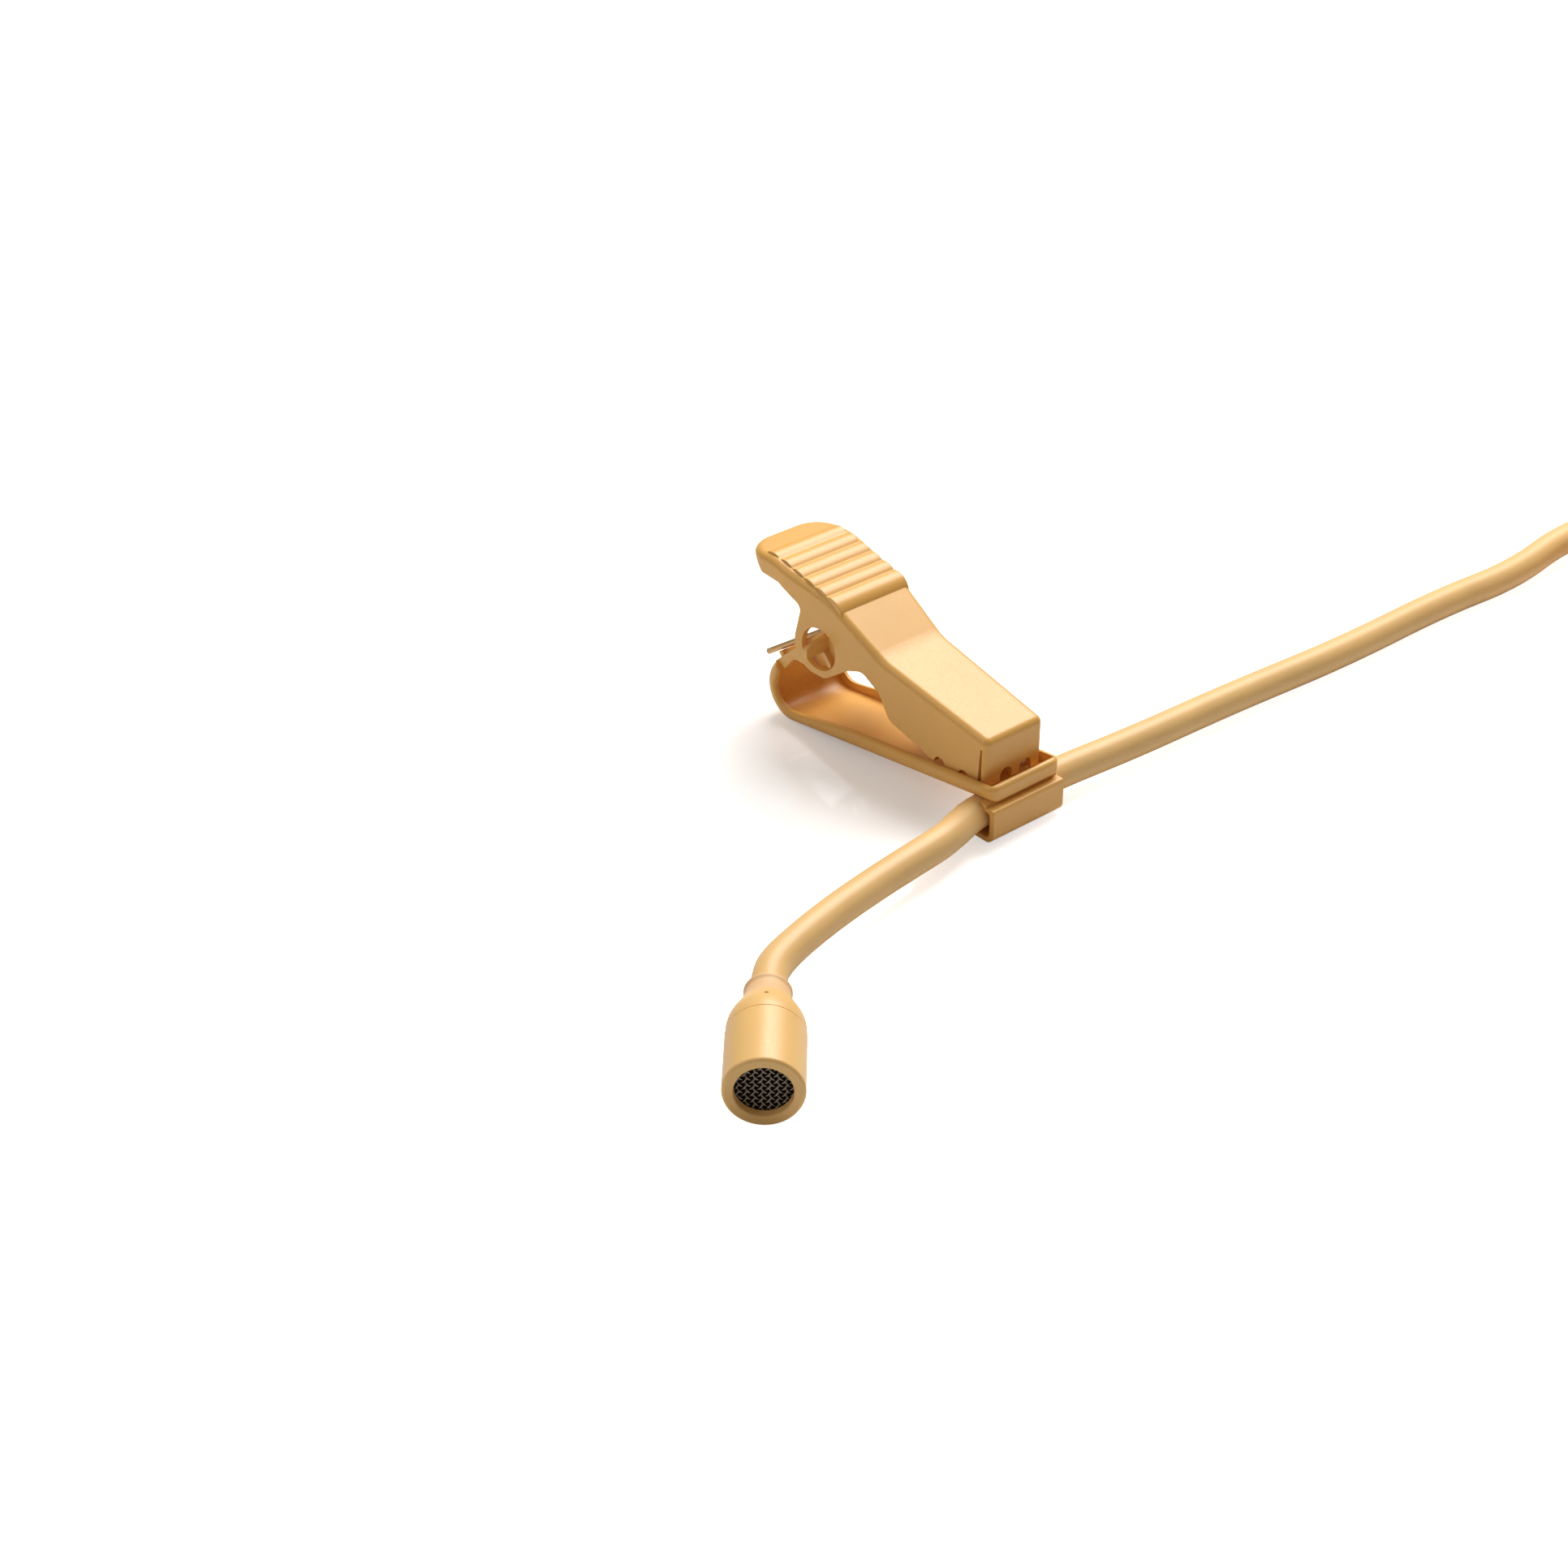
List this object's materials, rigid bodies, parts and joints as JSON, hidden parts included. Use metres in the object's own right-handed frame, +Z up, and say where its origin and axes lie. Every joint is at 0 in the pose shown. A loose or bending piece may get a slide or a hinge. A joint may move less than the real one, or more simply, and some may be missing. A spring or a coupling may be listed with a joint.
{
  "type": "lavalier microphone",
  "caption": "Clip-on microphone: small turned capsule with a mesh front on a thin cable, sprung sheet-metal clip that holds the cable in a loop, and a locking plug on the coiled end.",
  "frame": {"origin": "on the surface that the microphone lies on, under the middle of the capsule and the clip together", "axes": "+X along the clip from its thumb tongue towards the jaw's tip, +Y along the cable through the clip's loop, away from the capsule, +Z up"},
  "size_m": [0.0912, 0.1645, 0.017],
  "materials": {
    "beige_paint": "satin powder coat",
    "beige_cable": "matte soft jacket",
    "grommet_rubber": "satin",
    "mesh_wire": "woven wire",
    "black_cloth": "fine weave",
    "bare_aluminium": "satin",
    "brass": "bright",
    "film": "thin film",
    "white_plastic": "matte",
    "board": "solder mask",
    "black_plastic": "matte",
    "black_rubber": "matte",
    "red_wire": "matte",
    "spring_steel": "drawn wire",
    "black_metal": "satin",
    "nickel": "bright nickel",
    "gold": "gold plate"
  },
  "bodies": {
    "microphone": {"cable_grommet": "grommet_rubber", "rear_cap": "beige_paint", "capsule_housing": "beige_paint", "front_grille": "mesh_wire", "acoustic_cloth": "black_cloth", "capsule_can": "bare_aluminium", "diaphragm_ring": "brass", "diaphragm": "film", "spacer_ring": "film", "backplate": "brass", "backplate_holder": "white_plastic", "circuit_board": "board", "transistor": "black_plastic", "gasket": "black_rubber", "cable_end": "beige_cable", "cable_ferrule": "brass", "conductor_left": "red_wire", "conductor_right": "white_plastic", "cable_front": "beige_cable", "cable_rear": "beige_cable", "cable_coil": "beige_cable", "cable_tail": "beige_cable", "coil_tie": "black_plastic", "plug_boot": "black_rubber", "plug_handle": "black_metal", "plug_cable_end": "beige_cable", "plug_body": "nickel", "plug_sleeve": "gold", "plug_ring": "gold", "plug_tip": "gold", "plug_insulator_front": "black_plastic", "plug_insulator_rear": "black_plastic"},
    "clip_jaw": {"lower_jaw": "beige_paint", "torsion_spring": "spring_steel"},
    "clip_lever": {"clip_lever": "beige_paint"},
    "locking_collar": {"locking_collar": "nickel"}
  },
  "joints": [
    {"name": "clip_swivel", "type": "hinge", "parent": "microphone", "child": "clip_jaw", "pos_m": [0.0054, 0.0214, 0.00245], "axis": [0, 1, 0], "range_deg": [0, 100]},
    {"name": "jaw_hinge", "type": "hinge", "parent": "clip_jaw", "child": "clip_lever", "pos_m": [-0.01555, 0.0214, 0.00988], "axis": [0, -1, 0], "range_deg": [0, 30], "stiffness_Nm_per_rad": 0.02, "springref_deg": -34.38, "deforming": ["torsion_spring"]},
    {"name": "collar_turn", "type": "hinge", "parent": "microphone", "child": "locking_collar", "pos_m": [0.0603, 0.052, 0.0049], "axis": [0, -1, 0], "continuous": true}
  ]
}
